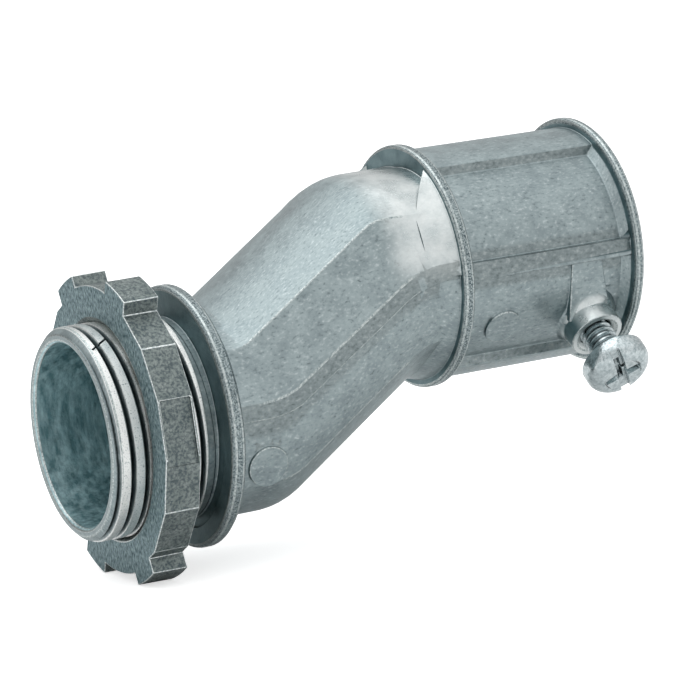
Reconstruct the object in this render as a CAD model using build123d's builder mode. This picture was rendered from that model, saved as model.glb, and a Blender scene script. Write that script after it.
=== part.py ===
from build123d import *
import math
import os

os.makedirs("parts", exist_ok=True)

# Offset set-screw connector for 3/4 inch trade size thin-wall conduit.
# Millimetres. X runs along the conduit, with the threaded nose towards -X.
# Z is the way the socket is offset. The origin is on the nose axis, on the
# face of the shoulder that seats against the box. Heights and walls are
# measured out from the round surface they stand on.

# What the fitting has to suit
conduit_offset = 13.7
conduit_diameter = 23.4
thread_diameter = 26.3

# Nose
nose_length = 13.8
nose_wall = 1.85
nose_lead = 0.85
nose_bore_depth = 17.0
nose_bore_draft = 2.7
nose_mouth_chamfer = 0.35
relief_depth = 0.7
relief_length = 1.6

# Shoulder and the round neck behind it
shoulder_height = 3.1
shoulder_thickness = 1.9
shoulder_edge = 0.45
neck_height = 0.35
neck_length = 4.2

# Transition. Its section stands around the passage, across the bent line
# between the two axes. Each long line of it turns with its own radius
bend_start = 7.2
bend_run = 20.4
passage_step = 0.8
crown_wall = 1.7
crown_wall_at_collar = 2.1
crown_bulge = 0.8
crown_bulge_at_collar = 1.5
crown_bend_radius = 6.0
crease_out = 1.5
crease_height = 8.9
crease_height_at_collar = 7.9
crease_bend_radius = 5.0
parting_wall = 4.1
parting_band = 2.2
parting_band_lean = 0.25
parting_step = 0.6
parting_height_at_nose = 1.3
parting_height_at_collar = 0.6
parting_bend_radius = 12.0
cheek_foot_out = 0.9
cheek_foot_height = 8.0
cheek_bulge = 0.4
keel_wall = 2.7
keel_bulge = 1.2
keel_bend_radius = 9.0

# Collar, and the round root before it: nearly straight above the parting
# line, with a window for the crown, and a flare below it
bend_to_collar = 6.0
collar_width = 1.5
collar_height = 1.95
root_length = 4.3
root_height = 0.8
root_draft = 5.0
root_flare_height = -0.1
root_flare_draft = 13.0
window_flare = 4.8
window_width = 14.8

# Socket
conduit_clearance = 0.15
socket_length = 25.8
socket_wall = 1.6
stop_depth = 1.4
mouth_chamfer = 0.5
pad_height = 1.1
pad_width = 14.4
side_rib_height = 0.95
side_rib_width = 2.2
rim_height = 2.3
rim_width = 1.2
rim_blend = 0.9
rim_blend_draft = 45.0
outer_edge = 0.3

# Screw boss, and the web that joins it to the side rib
boss_inset = 6.1
boss_angle = 130.5
boss_wall = 1.4
boss_length = 3.05
boss_countersink = 0.65
web_top_width = 4.1
web_foot_width = 6.0
web_height = 0.28
web_depth = 8.8
web_angle = 104.0
boss_flare = 1.9
boss_flare_draft = 35.0

# Ejector pin marks, standing a little proud
pin_mark_diameter = 4.8
pin_mark_rise = 0.25
pin_mark_inset = 7.0
pin_mark_angle = 125.0
cheek_mark_diameter = 5.2
cheek_mark_rise = 0.15
cheek_mark_position = 6.0
cheek_mark_height = 5.5

# Set screw, No. 8-32
screw_diameter = 4.1
screw_hole_clearance = 0.05
screw_length = 7.9
screw_head_overhang = 2.2
screw_head_height = 2.9
screw_head_round = 1.7
screw_gap_under_head = 4.1
screw_point_chamfer = 0.5
recess_slot_width = 1.3
recess_slot_depth = 1.2
recess_cross_width = 1.2
recess_cross_span = 4.9
recess_cross_depth = 1.9
recess_cross_draft = 12.0
recess_turn = 118.0

# Locknut
nut_clearance = 0.05
nut_thickness = 4.5
nut_to_shoulder = 4.8
nut_wall = 4.35
nut_facet_count = 16
nut_facet_turn = 6.0
nut_lug_height = 1.6
nut_lug_width = 5.4
nut_lug_angle = 23.5
nut_land_height = 0.1
nut_draft = 1.0
nut_pocket_width = 7.9
nut_pocket_depth = 0.75
nut_pocket_rim = 0.3
nut_pocket_angle = 86.0
nut_bore_chamfer = 0.5

# Sections taken through each bend, either side of its mitre
bend_steps = 3

# Sizes that follow from those above
thread_radius = thread_diameter / 2
nose_bore = thread_diameter - 2 * nose_wall
passage_radius = nose_bore / 2 - passage_step
shoulder_diameter = thread_diameter + 2 * shoulder_height
bend_end = bend_start + bend_run
half_bend = math.atan2(conduit_offset, bend_run) / 2
bend_reach = parting_bend_radius * math.sin(half_bend)
collar_start = bend_end + bend_to_collar
socket_end = collar_start + socket_length
socket_bore = conduit_diameter + 2 * conduit_clearance
socket_radius = socket_bore / 2 + socket_wall
collar_diameter = 2 * (socket_radius + collar_height)
rim_diameter = 2 * (socket_radius + rim_height)
rim_start = socket_end - rim_width
cheek_top_out = passage_radius + parting_wall - parting_step - parting_band_lean
cheek_foot_inset = cheek_top_out - passage_radius - cheek_foot_out
cheek_lean = math.atan2(cheek_foot_inset, cheek_foot_height - parting_band / 2)
cheek_mark_out = cheek_top_out - (cheek_mark_height - parting_band / 2) * math.tan(cheek_lean)
boss_position = socket_end - boss_inset
screw_hole_diameter = screw_diameter + 2 * screw_hole_clearance
boss_radius = screw_hole_diameter / 2 + boss_wall
boss_reach = socket_radius + boss_length
screw_head_diameter = screw_diameter + 2 * screw_head_overhang
nut_bore = thread_diameter + 2 * nut_clearance
nut_facet_radius = nut_bore / 2 + nut_wall
nut_front = -(nut_to_shoulder + nut_thickness)
nut_span = 2 * (nut_facet_radius + nut_lug_height)
nut_land_width = 2 * nut_facet_radius * math.sin(math.radians(nut_lug_angle))


def across_conduit(position, height=0.0):
    """Plane across the conduit: its X is the object's Y, its Y is Z."""
    return Plane(origin=(position, 0, height), x_dir=(0, 1, 0), z_dir=(1, 0, 0))


def facing_out(position, angle, radius):
    """Plane on the socket axis's radius, angle counted from the top."""
    turn = math.radians(angle)
    out = Vector(0, -math.sin(turn), math.cos(turn))
    foot = Vector(position, 0, conduit_offset) + out * radius
    return Plane(origin=foot, x_dir=(1, 0, 0), z_dir=out)


def rims(shape, diameter):
    """Round edges of one diameter, from the nose end to the socket end."""
    circles = shape.edges().filter_by(GeomType.CIRCLE)
    return circles.filter_by(lambda edge: abs(2 * edge.radius - diameter) < 0.01).sort_by(Axis.X)


def rounded_height(before, after, radius, bend, distance):
    """Height of a long line of the transition, in a plane parallel to the mitre
    of its corner and this far past it. Bend is 1 at the nose, -1 at the collar."""
    corner = bend * (before - after) / (2 * math.sin(half_bend))
    past = abs(distance - corner)
    if past < radius * math.sin(half_bend):
        rise = radius / math.cos(half_bend) - math.sqrt(radius**2 - past**2)
    else:
        rise = past * math.tan(half_bend)
    return (before + after) / (2 * math.cos(half_bend)) + bend * rise


def transition_outline(height_of, near_collar=0.0):
    """Right half of the transition's section, from crown to keel. The function
    gives each line's height from its heights at the nose, in the slope and at
    the collar, and its radius in the bends."""
    crown_nose = passage_radius + crown_wall
    crown_collar = passage_radius + crown_wall_at_collar
    bulge = crown_bulge + (crown_bulge_at_collar - crown_bulge) * near_collar
    half_band = parting_band / 2
    parting = height_of(parting_height_at_nose, 0, parting_height_at_collar, parting_bend_radius)
    bottom = -passage_radius - keel_wall
    crown = (0, height_of(crown_nose, crown_nose, crown_collar, crown_bend_radius))
    crease_top = height_of(crease_height, crease_height, crease_height_at_collar, crease_bend_radius)
    crease = (passage_radius + crease_out, crease_top)
    band_top = (cheek_top_out + parting_step + parting_band_lean, parting + half_band)
    band_foot = (cheek_top_out + parting_step, parting - half_band)
    cheek_top = (cheek_top_out, parting - half_band)
    foot = height_of(-cheek_foot_height, -cheek_foot_height, -cheek_foot_height, keel_bend_radius)
    cheek_foot = (passage_radius + cheek_foot_out, foot)
    keel = (0, height_of(bottom, bottom, bottom, keel_bend_radius))
    SagittaArc(crown, crease, bulge)
    Polyline(crease, band_top, band_foot, cheek_top)
    SagittaArc(cheek_top, cheek_foot, cheek_bulge)
    SagittaArc(cheek_foot, keel, keel_bulge)


# Transition: crown, creased sides, parting band and cheeks. Sections stand
# across both axes and, in each bend, in planes parallel to its mitre
with BuildPart() as transition:
    with BuildSketch(across_conduit(-bend_reach)):
        with BuildLine():
            transition_outline(lambda nose, slope, collar, radius: nose)
            mirror(about=Plane.YZ)
        make_face()
    for bend, corner in ((1, Vector(bend_start, 0, 0)), (-1, Vector(bend_end, 0, conduit_offset))):
        for step in range(-bend_steps, bend_steps + 1):
            part_way = step / bend_steps
            mitre_way = Vector(math.cos(half_bend), 0, math.sin(half_bend))
            foot = corner + mitre_way * (part_way * bend_reach)

            def height_here(nose, slope, collar, radius):
                before, after = (nose, slope) if bend == 1 else (slope, collar)
                return rounded_height(before, after, radius, bend, part_way * bend_reach)

            with BuildSketch(Plane(origin=foot, x_dir=(0, 1, 0), z_dir=mitre_way)):
                with BuildLine():
                    transition_outline(height_here, 0.0 if bend == 1 else (part_way + 1) / 2)
                    mirror(about=Plane.YZ)
                make_face()
    with BuildSketch(across_conduit(collar_start + bend_reach, conduit_offset)):
        with BuildLine():
            transition_outline(lambda nose, slope, collar, radius: collar, 1.0)
            mirror(about=Plane.YZ)
        make_face()
    loft(ruled=True)
    split(bisect_by=across_conduit(0), keep=Keep.TOP)
    split(bisect_by=across_conduit(collar_start), keep=Keep.BOTTOM)

# Root of the collar, joined to the casting below
root_start = collar_start - root_length
with BuildPart() as collar_root:
    with BuildSketch(across_conduit(root_start, conduit_offset)):
        Circle(socket_radius + root_height)
    extrude(amount=root_length, taper=-root_draft)
    split(bisect_by=Plane.XY.offset(conduit_offset), keep=Keep.TOP)
    with BuildSketch(across_conduit(root_start, conduit_offset)):
        Circle(socket_radius + root_flare_height)
    extrude(amount=root_length, taper=-root_flare_draft)
    with BuildSketch(Plane.XY.offset(conduit_offset)):
        with BuildLine():
            Polyline(
                (root_start, -window_width / 2 - window_flare),
                (collar_start, -window_width / 2),
                (collar_start, window_width / 2),
                (root_start, window_width / 2 + window_flare),
                close=True,
            )
        make_face()
    extrude(amount=collar_diameter, mode=Mode.SUBTRACT)

# One zinc die casting: nose, shoulder, transition, collar, socket and boss
with BuildPart() as connector_body:
    # Nose, with a lead at its end and a relief next to the shoulder
    with BuildSketch(across_conduit(-nose_length)):
        Circle(thread_radius)
    extrude(amount=nose_length)
    chamfer(rims(connector_body, thread_diameter)[0], length=nose_lead)
    with BuildSketch(across_conduit(-relief_length)):
        Circle(thread_radius)
        Circle(thread_radius - relief_depth, mode=Mode.SUBTRACT)
    extrude(amount=relief_length, mode=Mode.SUBTRACT)

    # Shoulder, and the round neck behind it
    with BuildSketch(across_conduit(0)):
        Circle(thread_radius + neck_height)
    extrude(amount=neck_length)
    with BuildSketch(across_conduit(0)):
        Circle(shoulder_diameter / 2)
    extrude(amount=shoulder_thickness)
    chamfer(rims(connector_body, shoulder_diameter), length=shoulder_edge)

    # Collar, socket tube and end rim
    with BuildSketch(across_conduit(collar_start, conduit_offset)):
        Circle(collar_diameter / 2)
    extrude(amount=collar_width)
    with BuildSketch(across_conduit(collar_start, conduit_offset)):
        Circle(socket_radius)
    extrude(amount=socket_length)
    with BuildSketch(across_conduit(rim_start, conduit_offset)):
        Circle(rim_diameter / 2)
    extrude(amount=rim_width)
    with BuildSketch(across_conduit(rim_start - rim_blend, conduit_offset)):
        Circle(socket_radius)
    extrude(amount=rim_blend, taper=-rim_blend_draft)
    chamfer(rims(connector_body, collar_diameter), length=outer_edge)
    chamfer(rims(connector_body, rim_diameter), length=outer_edge)

    # Transition, and the root of the collar
    add(transition.part)
    add(collar_root.part)

    # Pads at the top and foot of the socket, and ribs on the parting line
    with BuildSketch(across_conduit(collar_start, conduit_offset)):
        Circle(socket_radius + pad_height)
        Rectangle(pad_width, collar_diameter, mode=Mode.INTERSECT)
    extrude(amount=rim_start - collar_start)
    with BuildSketch(across_conduit(collar_start, conduit_offset)):
        Circle(socket_radius + side_rib_height)
        Rectangle(collar_diameter, side_rib_width, mode=Mode.INTERSECT)
    extrude(amount=rim_start - collar_start)

    # Screw boss, and the web up to the rib that lets the die half draw
    with BuildSketch(facing_out(boss_position, boss_angle, 0)):
        Circle(boss_radius)
    extrude(amount=boss_reach)
    with BuildSketch(facing_out(boss_position, boss_angle, socket_radius - boss_flare)):
        Circle(boss_radius + boss_flare)
    extrude(amount=boss_length, taper=boss_flare_draft)
    web_left = boss_position - boss_radius
    web_top = (socket_radius + web_height) * math.tan(math.radians(web_angle - 90))
    with BuildSketch(facing_out(0, web_angle, 0)):
        with BuildLine():
            Polyline(
                (web_left, web_top),
                (web_left + web_top_width, web_top),
                (web_left + web_foot_width, web_top - web_depth),
                (web_left, web_top - web_depth),
                close=True,
            )
        make_face()
    extrude(amount=socket_radius + web_height)

    # Ejector pin marks on the cheeks and on the lower half of the socket, both sides
    for side in (-1, 1):
        cheek_out = Vector(0, side * math.cos(cheek_lean), -math.sin(cheek_lean))
        cheek_mark_foot = Vector(cheek_mark_position, side * cheek_mark_out, -cheek_mark_height)
        with BuildSketch(Plane(origin=cheek_mark_foot, x_dir=(1, 0, 0), z_dir=cheek_out)):
            Circle(cheek_mark_diameter / 2)
        extrude(amount=cheek_bulge + cheek_mark_rise)
    for angle in (pin_mark_angle, -pin_mark_angle):
        with BuildSketch(facing_out(collar_start + pin_mark_inset, angle, 0)):
            Circle(pin_mark_diameter / 2)
        extrude(amount=socket_radius + pin_mark_rise)

    # Way through: sloping passage, then nose bore and socket bore
    with BuildSketch(across_conduit(0)):
        Circle(passage_radius)
    with BuildLine() as passage_line:
        Polyline(
            (0, 0, 0),
            (bend_start, 0, 0),
            (bend_end, 0, conduit_offset),
            (socket_end, 0, conduit_offset),
        )
    sweep(path=passage_line.wires()[0], transition=Transition.RIGHT, mode=Mode.SUBTRACT)
    with BuildSketch(across_conduit(-nose_length)):
        Circle(nose_bore / 2)
    extrude(amount=nose_bore_depth, taper=nose_bore_draft, mode=Mode.SUBTRACT)
    with BuildSketch(across_conduit(collar_start + stop_depth, conduit_offset)):
        Circle(socket_bore / 2)
    extrude(amount=socket_length - stop_depth, mode=Mode.SUBTRACT)
    chamfer(rims(connector_body, nose_bore)[0], length=nose_mouth_chamfer)
    chamfer(rims(connector_body, socket_bore)[-1], length=mouth_chamfer)

    # Screw hole, from the socket bore out through the boss
    with BuildSketch(facing_out(boss_position, boss_angle, 0)):
        Circle(screw_hole_diameter / 2)
    extrude(amount=boss_reach, mode=Mode.SUBTRACT)
    screw_mouth = rims(connector_body, screw_hole_diameter).sort_by(Axis.Z)[0]
    chamfer(screw_mouth, length=boss_countersink)

connector_body.part.label = "connector_body"
export_step(connector_body.part, "parts/connector_body.step")

# Locknut on the nose, with two lugs and a round land between them at its top and at its foot
with BuildPart() as locknut:
    with BuildSketch(across_conduit(nut_front)):
        Circle(nut_facet_radius + nut_land_height)
        Rectangle(nut_land_width, nut_span, mode=Mode.INTERSECT)
        for angle in (nut_lug_angle, -nut_lug_angle):
            with Locations(Rot(0, 0, angle)):
                with Locations((0, nut_facet_radius)):
                    Rectangle(nut_lug_width, nut_facet_radius)
        mirror(about=Plane.XZ)
        RegularPolygon(nut_facet_radius, nut_facet_count, rotation=nut_facet_turn)
    extrude(amount=nut_thickness)
    with BuildSketch(across_conduit(nut_front)):
        Circle(nut_facet_radius + nut_lug_height)
    extrude(amount=nut_thickness, taper=-nut_draft, mode=Mode.INTERSECT)
    with BuildSketch(across_conduit(nut_front)):
        Circle(nut_bore / 2)
    extrude(amount=nut_thickness, mode=Mode.SUBTRACT)
    chamfer(rims(locknut, nut_bore), length=nut_bore_chamfer)
    # Pockets in the two sides, between a rim at each face
    with BuildSketch(across_conduit(nut_front + nut_pocket_rim)):
        for angle in (nut_pocket_angle, -nut_pocket_angle):
            with Locations(Rot(0, 0, angle)):
                with Locations((0, 2 * nut_facet_radius - nut_pocket_depth)):
                    Rectangle(nut_pocket_width, 2 * nut_facet_radius)
    extrude(amount=nut_thickness - 2 * nut_pocket_rim, mode=Mode.SUBTRACT)

locknut.part.label = "locknut"
export_step(locknut.part, "parts/locknut.step")

# Set screw, backed out so that its tip clears the socket bore
head_seat = boss_reach + screw_gap_under_head
with BuildPart() as set_screw:
    with BuildSketch(facing_out(boss_position, boss_angle, head_seat)):
        Circle(screw_diameter / 2)
    extrude(amount=-screw_length)
    chamfer(rims(set_screw, screw_diameter).sort_by(Axis.Z)[-1], length=screw_point_chamfer)
    with BuildSketch(facing_out(boss_position, boss_angle, head_seat)):
        Circle(screw_head_diameter / 2)
    extrude(amount=screw_head_height)
    fillet(rims(set_screw, screw_head_diameter).sort_by(Axis.Z)[0], radius=screw_head_round)
    head_top = facing_out(boss_position, boss_angle, head_seat + screw_head_height)
    with BuildSketch(head_top):
        Rectangle(screw_head_diameter, recess_slot_width, rotation=recess_turn)
    extrude(amount=-recess_slot_depth, mode=Mode.SUBTRACT)
    with BuildSketch(head_top):
        Rectangle(recess_cross_span, recess_cross_width, rotation=recess_turn)
        Rectangle(recess_cross_width, recess_cross_span, rotation=recess_turn)
    extrude(amount=-recess_cross_depth, taper=recess_cross_draft, mode=Mode.SUBTRACT)

set_screw.part.label = "set_screw"
export_step(set_screw.part, "parts/set_screw.step")
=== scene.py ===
import math

import bmesh
import bpy
from mathutils import Matrix, Vector


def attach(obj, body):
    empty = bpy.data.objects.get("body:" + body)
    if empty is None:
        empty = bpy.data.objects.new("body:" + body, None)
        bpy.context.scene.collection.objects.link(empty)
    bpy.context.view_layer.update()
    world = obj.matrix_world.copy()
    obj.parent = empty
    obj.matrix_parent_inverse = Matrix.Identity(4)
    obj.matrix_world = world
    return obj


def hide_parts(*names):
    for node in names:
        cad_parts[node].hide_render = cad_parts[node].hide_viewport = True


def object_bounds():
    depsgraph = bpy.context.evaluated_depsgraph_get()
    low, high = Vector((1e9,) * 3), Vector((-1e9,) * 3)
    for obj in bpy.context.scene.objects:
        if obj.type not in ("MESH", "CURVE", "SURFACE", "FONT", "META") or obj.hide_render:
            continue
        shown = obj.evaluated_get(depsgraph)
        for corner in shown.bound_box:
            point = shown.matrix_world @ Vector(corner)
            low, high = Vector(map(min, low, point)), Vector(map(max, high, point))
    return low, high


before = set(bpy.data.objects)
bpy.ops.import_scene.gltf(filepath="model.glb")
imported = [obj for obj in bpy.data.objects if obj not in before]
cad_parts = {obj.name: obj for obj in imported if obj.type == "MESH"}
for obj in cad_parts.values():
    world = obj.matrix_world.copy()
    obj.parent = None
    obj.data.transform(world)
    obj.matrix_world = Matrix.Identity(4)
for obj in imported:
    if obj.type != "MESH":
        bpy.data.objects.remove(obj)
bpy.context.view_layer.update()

MM = 0.001

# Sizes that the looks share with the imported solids, in millimetres. X runs along the conduit from
# the face of the shoulder, the nose towards -X, and the socket's axis lies OFFSET above the nose's
OFFSET = 13.7
NOSE_END = -13.8
NOSE_BORE_RADIUS = 11.3
CREST_RADIUS = 13.15
RELIEF_LENGTH = 1.6
SHOULDER_THICKNESS = 1.9
SHOULDER_RADIUS = 16.25
COLLAR_START = 33.6
COLLAR_WIDTH = 1.5
COLLAR_RADIUS = 15.4
ROOT_LENGTH = 4.3
SOCKET_RADIUS = 13.45
SOCKET_END = 59.4
RIM_WIDTH = 1.2
NUT_FRONT = -9.3
NUT_THICKNESS = 4.5
NUT_BORE_RADIUS = 13.2
SCREW_RADIUS = 2.05
SCREW_TIP = 12.7
SCREW_SHANK = 7.9
BOSS_RADIUS = 3.5

# The screw's axis leaves the socket's axis at this station, turned this far from straight up
SCREW_POSITION = 53.3
SCREW_ANGLE = math.radians(130.5)
SCREW_FOOT = Vector((SCREW_POSITION, 0, OFFSET))
SCREW_AXIS = Vector((0, -math.sin(SCREW_ANGLE), math.cos(SCREW_ANGLE)))

# Thread forms: 14 and 32 turns to the inch. A groove's mouth, bottom and run-out are shares of its
# pitch, and it is cut on past the crests by OVERCUT, in millimetres
NOSE_PITCH = 25.4 / 14
NOSE_THREAD_DEPTH = 0.8
NOSE_GROOVE_MOUTH, NOSE_GROOVE_BOTTOM = 0.42, 0.08
NUT_THREAD_DEPTH = NOSE_THREAD_DEPTH * 0.8
NUT_GROOVE_MOUTH, NUT_GROOVE_BOTTOM = 0.5, 0.1
SCREW_PITCH = 25.4 / 32
SCREW_THREAD_DEPTH = 0.42
SCREW_GROOVE_MOUTH, SCREW_GROOVE_BOTTOM = 0.8, 0.15
SCREW_RUNOUT = 0.65
OVERCUT = 0.6
STEPS_PER_TURN = 96
SCREW_STEPS_PER_TURN = 40

# Nick over the crests before the locknut, turned from the top towards the screw's side
NICK_POSITION = -11.3
NICK_ANGLE = math.radians(29)
NICK_SLANT = math.radians(35)
NICK_SIZE = Vector((3.6, 0.3, 0.8))

# Widths of the roundings, and how far round a fold in a rounding the edges stay as cut, in
# millimetres. Edges shorter than SHORTEST_IN_WIDTHS widths stay as cut too, as do those between
# the two stations of the collar's root
CASTING_EDGE = 0.14
CASTING_KEEP_OFF = 1.0
LOCKNUT_EDGE = 0.1
SCREW_EDGE = 0.1
FINE_KEEP_OFF = 0.4
SHORTEST_IN_WIDTHS = 1.3
ROOT_AS_CUT = (COLLAR_START - ROOT_LENGTH - 0.5, COLLAR_START - 0.3)

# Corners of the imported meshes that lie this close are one, in millimetres
MERGED_WITHIN = 0.002

# Angles between neighbouring faces, in degrees
FLAT_UP_TO = 0.5
SHARP_FROM = 12.0
SMOOTH_UP_TO = 50.0
FOLDED_FROM = 120.0

# Sizes of the surfaces' patterns, in millimetres. The scuffs, speckle and pits of the real metal are
# finer, and are drawn as coarse as the render needs to show them
CASTING_MOTTLE = 2.6
CASTING_SCUFF = 0.22
CASTING_WAVE = 0.9
FLANGE_SPECKLE = 0.17
BORE_STREAK = 0.9
NUT_MOTTLE = 1.8
NUT_PIT = 0.35
NUT_FRONT_PIT = 0.3
WORN_SPECKLE = 0.25
PLATING_CLOUD = 0.4

# Depths of the patterns' relief, and how far out of a corner the painted shade reaches, in millimetres
CASTING_RELIEF = 0.06
NUT_RELIEF = 0.1
PLATING_RELIEF = 0.03
CASTING_CORNER = 0.7
SCREW_CORNER = 1.0

# Stations and heights over which the crown gets its painted highlight, and how deep the nose's bore has its
# own look, in millimetres
CROWN_BRIGHTENS = (23.5, 28.0)
CROWN_HEIGHTS = (12.5, 16.5)
BORE_LOOK_DEPTH = 4.0


# Shapes

def turns_by(edge, degrees):
    """Whether the surface turns by more than an angle at the edge."""
    return edge.is_manifold and edge.calc_face_angle() > math.radians(degrees)


def middle(edge):
    """The point halfway along an edge."""
    return (edge.verts[0].co + edge.verts[1].co) / 2


def merged_copy(node):
    """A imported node's mesh with its loose triangles joined and flat faces made whole."""
    bm = bmesh.new()
    bm.from_mesh(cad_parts[node].data)
    bmesh.ops.remove_doubles(bm, verts=bm.verts, dist=MERGED_WITHIN * MM)
    bmesh.ops.dissolve_limit(bm, angle_limit=math.radians(FLAT_UP_TO), verts=bm.verts, edges=bm.edges)
    bmesh.ops.recalc_face_normals(bm, faces=bm.faces)
    for edge in bm.edges:
        edge.smooth = True
    return bm


def as_object(bm, name):
    """Puts a bmesh into an object of its own and frees it."""
    mesh = bpy.data.meshes.new(name)
    bm.to_mesh(mesh)
    bm.free()
    made = bpy.data.objects.new(name, mesh)
    bpy.context.scene.collection.objects.link(made)
    return made


def stands_outward(face):
    """Whether the face belongs to a rounding of an outer edge, which handling wears bright and which takes a
    painted highlight.
    """
    turned = [edge.calc_face_angle_signed() for edge in face.edges if edge.is_manifold]
    return sum(turned) > math.radians(SHARP_FROM)


def edges_to_round(bm, size, as_cut):
    """Numbers of the sharp edges, but not where one is too short, nor between two stations along X."""
    chosen = {edge.index for edge in bm.edges if turns_by(edge, SHARP_FROM)}
    for vert in bm.verts:
        meeting = chosen & {edge.index for edge in vert.link_edges}
        too_short = any(bm.edges[index].calc_length() < SHORTEST_IN_WIDTHS * size for index in meeting)
        if too_short or (as_cut and as_cut[0] * MM < vert.co.x < as_cut[1] * MM):
            chosen -= meeting
    return chosen


def round_edges(bm, width, keep_off, as_cut=None):
    """Bevels the sharp edges, leaving out those beside which the rounding would fold over. What isn't
    rounded stays sharp, and outward roundings take the second material."""
    bm.edges.ensure_lookup_table()
    chosen = edges_to_round(bm, width * MM, as_cut)
    middles = {index: middle(bm.edges[index]) for index in chosen}
    while True:
        trial = bm.copy()
        trial.edges.ensure_lookup_table()
        picked = [trial.edges[index] for index in sorted(chosen)]
        made = bmesh.ops.bevel(trial, geom=picked, offset=width * MM, offset_type="OFFSET", segments=2,
                               profile=0.5, affect="EDGES", clamp_overlap=False, material=-1)
        folds = [middle(edge) for edge in trial.edges if turns_by(edge, FOLDED_FROM)]
        reach = keep_off * MM
        beside = {index for index in chosen if any((middles[index] - fold).length < reach for fold in folds)}
        if not beside:
            break
        chosen -= beside
        trial.free()
    bm.free()
    rounding = set(made["faces"])
    for face in rounding:
        face.material_index = 1 if stands_outward(face) else 0
    for edge in trial.edges:
        if turns_by(edge, SHARP_FROM) and not rounding & set(edge.link_faces):
            edge.smooth = False
    return trial


def cut_away(piece, cutter):
    """Takes the cutter out of the piece, and the cutter out of the scene."""
    cut = piece.modifiers.new("cut", "BOOLEAN")
    cut.operation = "DIFFERENCE"
    cut.solver = "EXACT"
    cut.object = cutter
    bpy.context.view_layer.update()
    solved = bpy.data.meshes.new_from_object(piece.evaluated_get(bpy.context.evaluated_depsgraph_get()))
    piece.modifiers.clear()
    uncut = piece.data
    piece.data = solved
    bpy.data.meshes.remove(uncut)
    bpy.data.objects.remove(cutter)


def thread_groove(pitch, depth, mouth, bottom, radius, length, steps_per_turn, place):
    """The space between threads, wound about X for a length and then placed. It is cut inward from the
    radius, or outward where the depth is below 0."""
    slope = (mouth - bottom) * pitch / 2 / abs(depth)
    half_bottom = bottom * pitch / 2
    half_top = mouth * pitch / 2 + slope * OVERCUT
    floor = radius - depth
    top = radius + math.copysign(OVERCUT, depth)
    section = [(-half_bottom, floor), (half_bottom, floor), (half_top, top), (-half_top, top)]
    bm = bmesh.new()
    face = bm.faces.new([bm.verts.new((along * MM, 0, out * MM)) for along, out in section])
    steps = int(length / pitch * steps_per_turn)
    bmesh.ops.spin(bm, geom=[face], cent=(0, 0, 0), axis=(1, 0, 0), dvec=(pitch * MM / steps_per_turn, 0, 0),
                   angle=math.tau * steps / steps_per_turn, steps=steps, use_merge=False)
    bmesh.ops.recalc_face_normals(bm, faces=bm.faces)
    bmesh.ops.transform(bm, matrix=place, verts=bm.verts)
    return as_object(bm, "groove")


def nose_groove():
    """The space between the nose's threads, from before its end into the relief."""
    place = Matrix.Translation(Vector((NOSE_END - NOSE_PITCH, 0, 0)) * MM)
    length = -NOSE_END - RELIEF_LENGTH + 2 * NOSE_PITCH
    return thread_groove(NOSE_PITCH, NOSE_THREAD_DEPTH, NOSE_GROOVE_MOUTH, NOSE_GROOVE_BOTTOM,
                         CREST_RADIUS, length, STEPS_PER_TURN, place)


def locknut_groove():
    """The locknut's thread, cut outward from its bore so that the nose's crests stay clear."""
    place = Matrix.Translation(Vector((NUT_FRONT - NOSE_PITCH, 0, 0)) * MM)
    length = NUT_THICKNESS + 2 * NOSE_PITCH
    return thread_groove(NOSE_PITCH, -NUT_THREAD_DEPTH, NUT_GROOVE_MOUTH, NUT_GROOVE_BOTTOM,
                         NUT_BORE_RADIUS, length, STEPS_PER_TURN, place)


def screw_groove():
    """The space between the screw's threads, from past its tip to just under the head."""
    side = Vector((1, 0, 0))
    turned = Matrix((SCREW_AXIS, side, SCREW_AXIS.cross(side))).transposed().to_4x4()
    place = Matrix.Translation((SCREW_FOOT + SCREW_AXIS * (SCREW_TIP - SCREW_PITCH)) * MM) @ turned
    length = SCREW_SHANK + SCREW_PITCH * SCREW_RUNOUT
    return thread_groove(SCREW_PITCH, SCREW_THREAD_DEPTH, SCREW_GROOVE_MOUTH, SCREW_GROOVE_BOTTOM,
                         SCREW_RADIUS, length, SCREW_STEPS_PER_TURN, place)


def nick():
    """A slanted cut that nicks the crests before the locknut."""
    bm = bmesh.new()
    bmesh.ops.create_cube(bm, size=1.0)
    place = (Matrix.Rotation(NICK_ANGLE, 4, "X")
             @ Matrix.Translation(Vector((NICK_POSITION, 0, CREST_RADIUS)) * MM)
             @ Matrix.Rotation(NICK_SLANT, 4, "Z")
             @ Matrix.Diagonal(NICK_SIZE * MM).to_4x4())
    bmesh.ops.transform(bm, matrix=place, verts=bm.verts)
    return as_object(bm, "nick")


# Surfaces

def linear(hex_colour):
    """sRGB hex to linear RGBA."""
    channels = [int(hex_colour[i:i + 2], 16) / 255 for i in (1, 3, 5)]
    return [c / 12.92 if c <= 0.04045 else ((c + 0.055) / 1.055) ** 2.4 for c in channels] + [1.0]


def live(sockets, name):
    """The socket of a number, or the one of a name that is in use."""
    if isinstance(name, int):
        return sockets[name]
    return next(socket for socket in sockets if socket.enabled and socket.name == name)


def add_node(tree, kind, settings=None, links=None):
    """Adds a node, sets its properties and sockets, and links its inputs. Stops are a colour ramp's
    places and colours, and a node given as a link stands for its first output in use."""
    node = tree.nodes.new(kind)
    for name, value in (settings or {}).items():
        if name == "stops":
            elements = node.color_ramp.elements
            elements.remove(elements[-1])
            for place, colour in value:
                stop = elements[0] if place == value[0][0] else elements.new(place)
                stop.position, stop.color = place, colour
        elif isinstance(name, str) and hasattr(node, name):
            setattr(node, name, value)
        else:
            live(node.inputs, name).default_value = value
    for name, source in (links or {}).items():
        if isinstance(source, bpy.types.Node):
            source = next(socket for socket in source.outputs if socket.enabled)
        tree.links.new(source, live(node.inputs, name))
    return node


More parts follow.
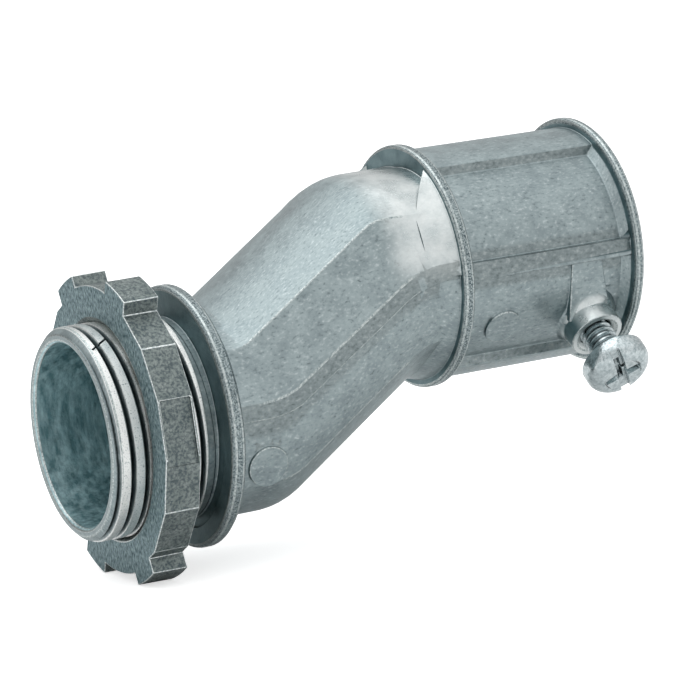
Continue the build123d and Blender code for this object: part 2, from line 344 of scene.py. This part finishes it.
def grain(size, detail):
    """Noise settings for a grain of a size in millimetres."""
    return {"Scale": 1 / size, "Detail": detail, "Roughness": 0.6}


def tones(dark, light, low=0.35, high=0.65):
    """Stops for two colours over a range of the pattern."""
    return {"stops": [(low, linear(dark)), (high, linear(light))]}


def patch(tree, *limits):
    """1 where every value is past its second limit, 0 where one is before its first, and soft between."""
    share = None
    for value, start, end in limits:
        settings = {"interpolation_type": "SMOOTHSTEP", "From Min": start, "From Max": end}
        passed = add_node(tree, "ShaderNodeMapRange", settings, {"Value": value})
        if share:
            passed = add_node(tree, "ShaderNodeMath", {"operation": "MULTIPLY"}, {0: share, 1: passed})
        share = passed
    return share


def stretch_along(value, start, end):
    """Limits for a patch between two stations, with soft ends."""
    return (value, start - 0.15, start - 0.05), (value, end + 0.15, end + 0.05)


def laid_over(tree, colour, share, pattern, stops):
    """The colour so far, with the pattern in its own tones over it where the share is 1."""
    finish = add_node(tree, "ShaderNodeValToRGB", stops, {"Fac": pattern})
    return add_node(tree, "ShaderNodeMix", {"data_type": "RGBA"}, {"Factor": share, "A": colour, "B": finish})


def painted_shade_in_corners(tree, colour, dark, reach):
    """The colour so far, going to a dark one as painted shade in corners and grooves, within a reach in
    millimetres.
    """
    settings = {"samples": 12, "only_local": True, "Distance": reach * MM}
    openness = add_node(tree, "ShaderNodeAmbientOcclusion", settings).outputs["AO"]
    links = {"Factor": patch(tree, (openness, 0.2, 0.85)), "B": colour}
    return add_node(tree, "ShaderNodeMix", {"data_type": "RGBA", "A": linear(dark)}, links)


def distance_from_axis(tree, place, foot, axis):
    """Distance from the line through a foot along an axis, in millimetres."""
    from_foot = add_node(tree, "ShaderNodeVectorMath", {"operation": "SUBTRACT", 1: foot}, {0: place})
    across = add_node(tree, "ShaderNodeVectorMath", {"operation": "CROSS_PRODUCT", 1: axis}, {0: from_foot})
    return add_node(tree, "ShaderNodeVectorMath", {"operation": "LENGTH"}, {0: across})


def bare_metal(name, roughness):
    """A metal with nothing on its surface yet: its material, tree, shader and place in millimetres."""
    material = bpy.data.materials.new(name)
    material.use_nodes = True
    tree = material.node_tree
    shader = tree.nodes["Principled BSDF"]
    shader.inputs["Metallic"].default_value = 1.0
    shader.inputs["Roughness"].default_value = roughness
    place = add_node(tree, "ShaderNodeTexCoord").outputs["Object"]
    place = add_node(tree, "ShaderNodeVectorMath", {"operation": "SCALE", "Scale": 1 / MM}, {0: place})
    return material, tree, shader, place


def finish_metal(tree, shader, colour, relief, depth):
    """Gives the shader its colour, and the pattern's relief at a depth in millimetres."""
    tree.links.new(live(colour.outputs, "Result"), shader.inputs["Base Color"])
    bump = add_node(tree, "ShaderNodeBump", {"Strength": 1.0, "Distance": depth * MM}, {"Height": relief})
    tree.links.new(bump.outputs["Normal"], shader.inputs["Normal"])


def tumbled_zinc():
    """Die-cast zinc alloy, tumbled after casting. It looks satin and cool grey, with the melt's mottle
    and fine scuffs, speckled flange edges, bright thread crests and a streaked bore. The crests, the
    crown by the collar and the boss carry a painted highlight, and painted shade lies on the faces
    towards the nose, on the parting strip and in the corners."""
    material, tree, shader, place = bare_metal("die_cast_zinc_tumbled", 0.42)
    parts = add_node(tree, "ShaderNodeSeparateXYZ", {}, {0: place}).outputs
    along, height = parts["X"], parts["Z"]
    facing = add_node(tree, "ShaderNodeTexCoord").outputs["Normal"]
    facing = add_node(tree, "ShaderNodeSeparateXYZ", {}, {0: facing}).outputs
    from_nose_axis = distance_from_axis(tree, place, (0, 0, 0), (1, 0, 0))
    from_socket_axis = distance_from_axis(tree, place, (0, 0, OFFSET), (1, 0, 0))
    from_screw_axis = distance_from_axis(tree, place, SCREW_FOOT, SCREW_AXIS)

    # Mottle of the melt, with lighter and darker scuffs from tumbling, longest along the conduit
    mottle = add_node(tree, "ShaderNodeTexNoise", grain(CASTING_MOTTLE, 5.0), {"Vector": place})
    colour = add_node(tree, "ShaderNodeValToRGB", tones("#8C999C", "#A3B0B2"), {"Fac": mottle})
    rubbed = add_node(tree, "ShaderNodeMapping", {"Scale": (0.35, 1.0, 0.5)}, {"Vector": place})
    scuffs = add_node(tree, "ShaderNodeTexNoise", grain(CASTING_SCUFF, 6.0), {"Vector": rubbed})
    colour = laid_over(tree, colour, patch(tree, (scuffs, 0.50, 0.82)), scuffs, tones("#A6B2B4", "#C9D3D4"))
    colour = laid_over(tree, colour, patch(tree, (scuffs, 0.47, 0.24)), scuffs, tones("#6D797C", "#808C8F"))

    # Painted highlight where the crown flattens before the collar, and round the screw boss
    by_collar = patch(tree, (along, *CROWN_BRIGHTENS), (along, COLLAR_START + 0.2, COLLAR_START - 0.2),
                      (height, *CROWN_HEIGHTS))
    boss = patch(tree, (from_screw_axis, BOSS_RADIUS + 1.0, BOSS_RADIUS + 0.2),
                 (from_socket_axis, SOCKET_RADIUS + 0.2, SOCKET_RADIUS + 0.8))
    painted_highlight_and_polish = add_node(tree, "ShaderNodeMath", {"operation": "MAXIMUM"}, {0: by_collar, 1: boss})
    share = add_node(tree, "ShaderNodeMath", {"operation": "MULTIPLY", 1: 0.75}, {0: painted_highlight_and_polish})
    colour = laid_over(tree, colour, share, mottle, tones("#D2DADA", "#EEF2F1"))

    # Painted shade, darker and bluer, on the faces across the conduit that look towards the nose, from the
    # shoulder on
    painted_shade_facing_nose = patch(tree, (facing["X"], -0.75, -0.95), (along, -1.0, -0.5))
    colour = laid_over(tree, colour, painted_shade_facing_nose, mottle, tones("#5C7378", "#7E9498"))

    # Rougher, greyer strip where the die parted, on the faces that look straight to the sides; its darkness
    # is partly painted shade, for the darker reflection those faces catch
    sideways = add_node(tree, "ShaderNodeMath", {"operation": "ABSOLUTE"}, {0: facing["Y"]})
    parting_strip_and_painted_shade = patch(tree, (sideways, 0.978, 0.99))
    share = add_node(tree, "ShaderNodeMath", {"operation": "MULTIPLY", 1: 0.5}, {0: parting_strip_and_painted_shade})
    colour = laid_over(tree, colour, share, scuffs, tones("#5F6868", "#8D9494"))

    # Speckled as-cast metal at the outer edges of the shoulder, the collar and the end rim
    speckle = add_node(tree, "ShaderNodeTexNoise", grain(FLANGE_SPECKLE, 3.0), {"Vector": place})
    shoulder = patch(tree, *stretch_along(along, 0.0, SHOULDER_THICKNESS),
                     (from_nose_axis, SHOULDER_RADIUS - 0.55, SHOULDER_RADIUS - 0.35))
    outer_edge = (from_socket_axis, COLLAR_RADIUS - 0.45, COLLAR_RADIUS - 0.25)
    collar = patch(tree, *stretch_along(along, COLLAR_START, COLLAR_START + COLLAR_WIDTH), outer_edge)
    rim = patch(tree, *stretch_along(along, SOCKET_END - RIM_WIDTH, SOCKET_END), outer_edge)
    for flange in (shoulder, collar, rim):
        colour = laid_over(tree, colour, flange, speckle, tones("#4E5C61", "#B3BFC0", 0.40, 0.62))

    # Thread crests, bright with dark flecks, as a painted highlight
    crest_highlight = patch(tree, (along, -RELIEF_LENGTH, -RELIEF_LENGTH - 0.2),
                   (from_nose_axis, CREST_RADIUS - 0.25, CREST_RADIUS - 0.1))
    colour = laid_over(tree, colour, crest_highlight, speckle, tones("#9DAAAC", "#F6F8F6", 0.30, 0.44))

    # Bore of the nose, blue-grey with upright streaks
    bore = patch(tree, (from_nose_axis, NOSE_BORE_RADIUS + 0.35, NOSE_BORE_RADIUS + 0.1),
                 (along, BORE_LOOK_DEPTH, BORE_LOOK_DEPTH - 1.0))
    drawn = add_node(tree, "ShaderNodeMapping", {"Scale": (1.0, 1.0, 0.25)}, {"Vector": place})
    streaks = add_node(tree, "ShaderNodeTexNoise", grain(BORE_STREAK, 4.0), {"Vector": drawn})
    colour = laid_over(tree, colour, bore, streaks, tones("#86A9AF", "#DDF6F9", 0.36, 0.66))

    # Smoother in the mottle's dark parts, and where the painted highlight lies
    settings = {"From Min": 0.3, "From Max": 0.7, "To Min": 0.34, "To Max": 0.52}
    rough = add_node(tree, "ShaderNodeMapRange", settings, {"Value": mottle})
    polish = add_node(tree, "ShaderNodeMath", {"operation": "MULTIPLY_ADD", 1: -0.3, 2: 1.0}, {0: painted_highlight_and_polish})
    rough = add_node(tree, "ShaderNodeMath", {"operation": "MULTIPLY"}, {0: rough, 1: polish})
    tree.links.new(rough.outputs["Value"], shader.inputs["Roughness"])

    waves = add_node(tree, "ShaderNodeTexNoise", grain(CASTING_WAVE, 3.0), {"Vector": place})
    waves = add_node(tree, "ShaderNodeMath", {"operation": "MULTIPLY", 1: 0.4}, {0: waves})
    relief = add_node(tree, "ShaderNodeMath", {"operation": "MULTIPLY_ADD", 1: 0.6}, {0: scuffs, 2: waves})
    # Painted shade in corners and grooves
    colour = painted_shade_in_corners(tree, colour, "#3C484C", CASTING_CORNER)
    finish_metal(tree, shader, colour, relief, CASTING_RELIEF)
    return material


def as_cast_zinc():
    """Die-cast zinc alloy left as it came from the die, with a dull grey-blue skin and pitted faces."""
    material, tree, shader, place = bare_metal("die_cast_zinc_as_cast", 0.5)
    along = add_node(tree, "ShaderNodeSeparateXYZ", {}, {0: place}).outputs["X"]
    pits = add_node(tree, "ShaderNodeTexNoise", grain(NUT_PIT, 4.0), {"Vector": place})
    mottle = add_node(tree, "ShaderNodeTexNoise", grain(NUT_MOTTLE, 5.0), {"Vector": place})
    colour = add_node(tree, "ShaderNodeValToRGB", tones("#515C60", "#687274"), {"Fac": mottle})
    colour = laid_over(tree, colour, patch(tree, (pits, 0.35, 0.65)), mottle, tones("#7E8987", "#98A19E"))

    # The front face is bluer, and its pits are a little longer upwards
    drawn = add_node(tree, "ShaderNodeMapping", {"Scale": (1.0, 1.0, 0.5)}, {"Vector": place})
    front_pits = add_node(tree, "ShaderNodeTexNoise", grain(NUT_FRONT_PIT, 4.0), {"Vector": drawn})
    front = patch(tree, (along, NUT_FRONT + 0.1, NUT_FRONT + 0.02))
    colour = laid_over(tree, colour, front, front_pits, tones("#3F5960", "#A3B9BD", 0.36, 0.66))
    # Painted shade in corners and grooves
    colour = painted_shade_in_corners(tree, colour, "#2E383C", CASTING_CORNER)
    finish_metal(tree, shader, colour, pits, NUT_RELIEF)
    return material


def worn_zinc_edge_with_painted_highlight(name, dark, light):
    """Die-cast zinc where handling and tumbling have brightened an outer edge, lightened further as a painted
    highlight.
    """
    material, tree, shader, place = bare_metal(name, 0.38)
    speckle = add_node(tree, "ShaderNodeTexNoise", grain(WORN_SPECKLE, 3.0), {"Vector": place})
    colour = add_node(tree, "ShaderNodeValToRGB", tones(dark, light, 0.36, 0.60), {"Fac": speckle})
    tree.links.new(colour.outputs["Color"], shader.inputs["Base Color"])
    return material


def zinc_plated_steel():
    """Steel with bright zinc plating, a little uneven. It shines, with painted shade in recess and thread."""
    material, tree, shader, place = bare_metal("zinc_plated_steel", 0.19)
    cloud = add_node(tree, "ShaderNodeTexNoise", grain(PLATING_CLOUD, 3.0), {"Vector": place})
    colour = add_node(tree, "ShaderNodeValToRGB", tones("#9DABAE", "#D6DFE1", 0.30, 0.68), {"Fac": cloud})
    # Painted shade in the recess and thread
    colour = painted_shade_in_corners(tree, colour, "#2A363B", SCREW_CORNER)
    finish_metal(tree, shader, colour, cloud, PLATING_RELIEF)
    return material


# Pieces

def show(piece, body, replaced, material, edge_material):
    """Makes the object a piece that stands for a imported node, smooth but for its sharp edges."""
    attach(piece, body)
    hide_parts(replaced)
    for index, surface in enumerate((material, edge_material)):
        if index < len(piece.data.materials):
            piece.data.materials[index] = surface
        else:
            piece.data.materials.append(surface)
    bm = bmesh.new()
    bm.from_mesh(piece.data)
    for face in bm.faces:
        face.smooth = True
    for edge in bm.edges:
        if turns_by(edge, SMOOTH_UP_TO):
            edge.smooth = False
    bm.to_mesh(piece.data)
    bm.free()
    even = piece.modifiers.new("even_shading", "WEIGHTED_NORMAL")
    even.keep_sharp = True
    even.weight = 60


def casting():
    """The zinc casting. Its collar's root runs out in thin slivers, so the edges there stay as cut."""
    rounded = round_edges(merged_copy("connector_body"), CASTING_EDGE, CASTING_KEEP_OFF, ROOT_AS_CUT)
    piece = as_object(rounded, "casting")
    cut_away(piece, nose_groove())
    cut_away(piece, nick())
    # Outer edges worn bright, with a painted highlight
    worn_and_highlighted = worn_zinc_edge_with_painted_highlight("die_cast_zinc_worn_edge_with_painted_highlight", "#8C999B", "#CBD3D2")
    show(piece, "fitting", "connector_body", tumbled_zinc(), worn_and_highlighted)


def locknut():
    """The lugged nut, with bright lines along its edges: worn metal with a painted highlight."""
    piece = as_object(round_edges(merged_copy("locknut"), LOCKNUT_EDGE, FINE_KEEP_OFF), "lugged_locknut")
    cut_away(piece, locknut_groove())
    # Outer edges worn bright, with a painted highlight
    worn_and_highlighted = worn_zinc_edge_with_painted_highlight("die_cast_zinc_worn_nut_edge_with_painted_highlight", "#A1AEB0", "#F0F5F4")
    show(piece, "nut", "locknut", as_cast_zinc(), worn_and_highlighted)


def set_screw():
    """The pan-head screw, plated all over."""
    piece = as_object(round_edges(merged_copy("set_screw"), SCREW_EDGE, FINE_KEEP_OFF), "pan_head_screw")
    cut_away(piece, screw_groove())
    plated = zinc_plated_steel()
    show(piece, "screw", "set_screw", plated, plated)


# Floor, light and camera

def paper_floor():
    """Pale paper that looks white to the camera and keeps the object's shadow."""
    floor_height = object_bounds()[0][2]
    bpy.ops.mesh.primitive_plane_add(size=8.0, location=(0, 0, floor_height))
    floor = bpy.context.active_object
    floor.name = "floor"
    white = bpy.data.materials.new("white_paper")
    white.use_nodes = True
    tree = white.node_tree
    shader = tree.nodes["Principled BSDF"]
    shader.inputs["Base Color"].default_value = linear("#F4F4F4")
    shader.inputs["Roughness"].default_value = 0.9
    shader.inputs["Emission Color"].default_value = linear("#FFFFFF")
    seen = add_node(tree, "ShaderNodeLightPath").outputs["Is Camera Ray"]
    glow = add_node(tree, "ShaderNodeMath", {"operation": "MULTIPLY", 1: 0.62}, {0: seen})
    tree.links.new(glow.outputs["Value"], shader.inputs["Emission Strength"])
    floor.data.materials.append(white)


def surroundings():
    """A studio that is white to the camera and lights the object softly from all round."""
    world = bpy.data.worlds.new("studio")
    bpy.context.scene.world = world
    world.use_nodes = True
    tree = world.node_tree
    background = tree.nodes["Background"]
    background.inputs["Color"].default_value = linear("#FFFFFF")
    way = add_node(tree, "ShaderNodeTexCoord").outputs["Generated"]
    upward = add_node(tree, "ShaderNodeSeparateXYZ", {}, {0: way}).outputs["Z"]
    height = add_node(tree, "ShaderNodeMath", {"operation": "MULTIPLY_ADD", 1: 0.5, 2: 0.5}, {0: upward})
    levels = [(0.0, 0.6), (0.45, 0.55), (0.52, 0.68), (0.7, 0.68), (1.0, 1.0)]
    stops = {"stops": [(place, (level, level, level, 1.0)) for place, level in levels]}
    level = add_node(tree, "ShaderNodeValToRGB", stops, {"Fac": height})

    # Darker beyond the open end, where the faces across the conduit look, and brighter by the camera
    beyond_end = ((-0.45, 0.88, -0.12), 0.72, 0.93, -0.62)
    by_camera = ((0.1, -0.9, 0.42), 0.1, 0.9, 0.30)
    for direction, start, end, change in (beyond_end, by_camera):
        towards = add_node(tree, "ShaderNodeVectorMath", {"operation": "DOT_PRODUCT", 1: direction}, {0: way})
        settings = {"operation": "MULTIPLY_ADD", 1: change, 2: 1.0}
        factor = add_node(tree, "ShaderNodeMath", settings, {0: patch(tree, (towards, start, end))})
        level = add_node(tree, "ShaderNodeMath", {"operation": "MULTIPLY"}, {0: level, 1: factor})

    seen = add_node(tree, "ShaderNodeLightPath").outputs["Is Camera Ray"]
    strength = add_node(tree, "ShaderNodeMix", {"data_type": "FLOAT", "B": 1.0}, {"Factor": seen, "A": level})
    tree.links.new(live(strength.outputs, "Result"), background.inputs["Strength"])


def softbox():
    """A wide, soft lamp high above the part."""
    lamp = bpy.data.lights.new("softbox", "AREA")
    lamp.shape = "RECTANGLE"
    lamp.size = 0.6
    lamp.size_y = 0.6
    lamp.energy = 1.1
    box = bpy.data.objects.new("softbox", lamp)
    box.location = (-0.1, 0.15, 0.6)
    aim = Vector((0.03, 0, 0)) - box.location
    box.rotation_euler = aim.to_track_quat("-Z", "Y").to_euler()
    bpy.context.scene.collection.objects.link(box)


def photograph_camera():
    """Camera at the photograph's viewing angle, with the place and lens of the fitted view."""
    camera = bpy.data.objects.new("camera", bpy.data.cameras.new("camera"))
    bpy.context.scene.collection.objects.link(camera)
    right = Vector((0.88121, -0.46248, -0.09788))
    up = Vector((0.15416, 0.08540, 0.98434))
    forward = Vector((0.44688, 0.88251, -0.14655))
    turned = Matrix((right, up, -forward)).transposed().to_4x4()
    camera.matrix_world = Matrix.Translation(Vector((-164.98, -374.78, 66.70)) * MM) @ turned
    camera.data.sensor_width = 36.0
    camera.data.lens = 174.73
    camera.data.clip_start = 0.01
    camera.data.clip_end = 20.0
    bpy.context.scene.camera = camera


casting()
locknut()
set_screw()
paper_floor()
surroundings()
softbox()
photograph_camera()
bpy.context.scene.view_settings.view_transform = "Standard"
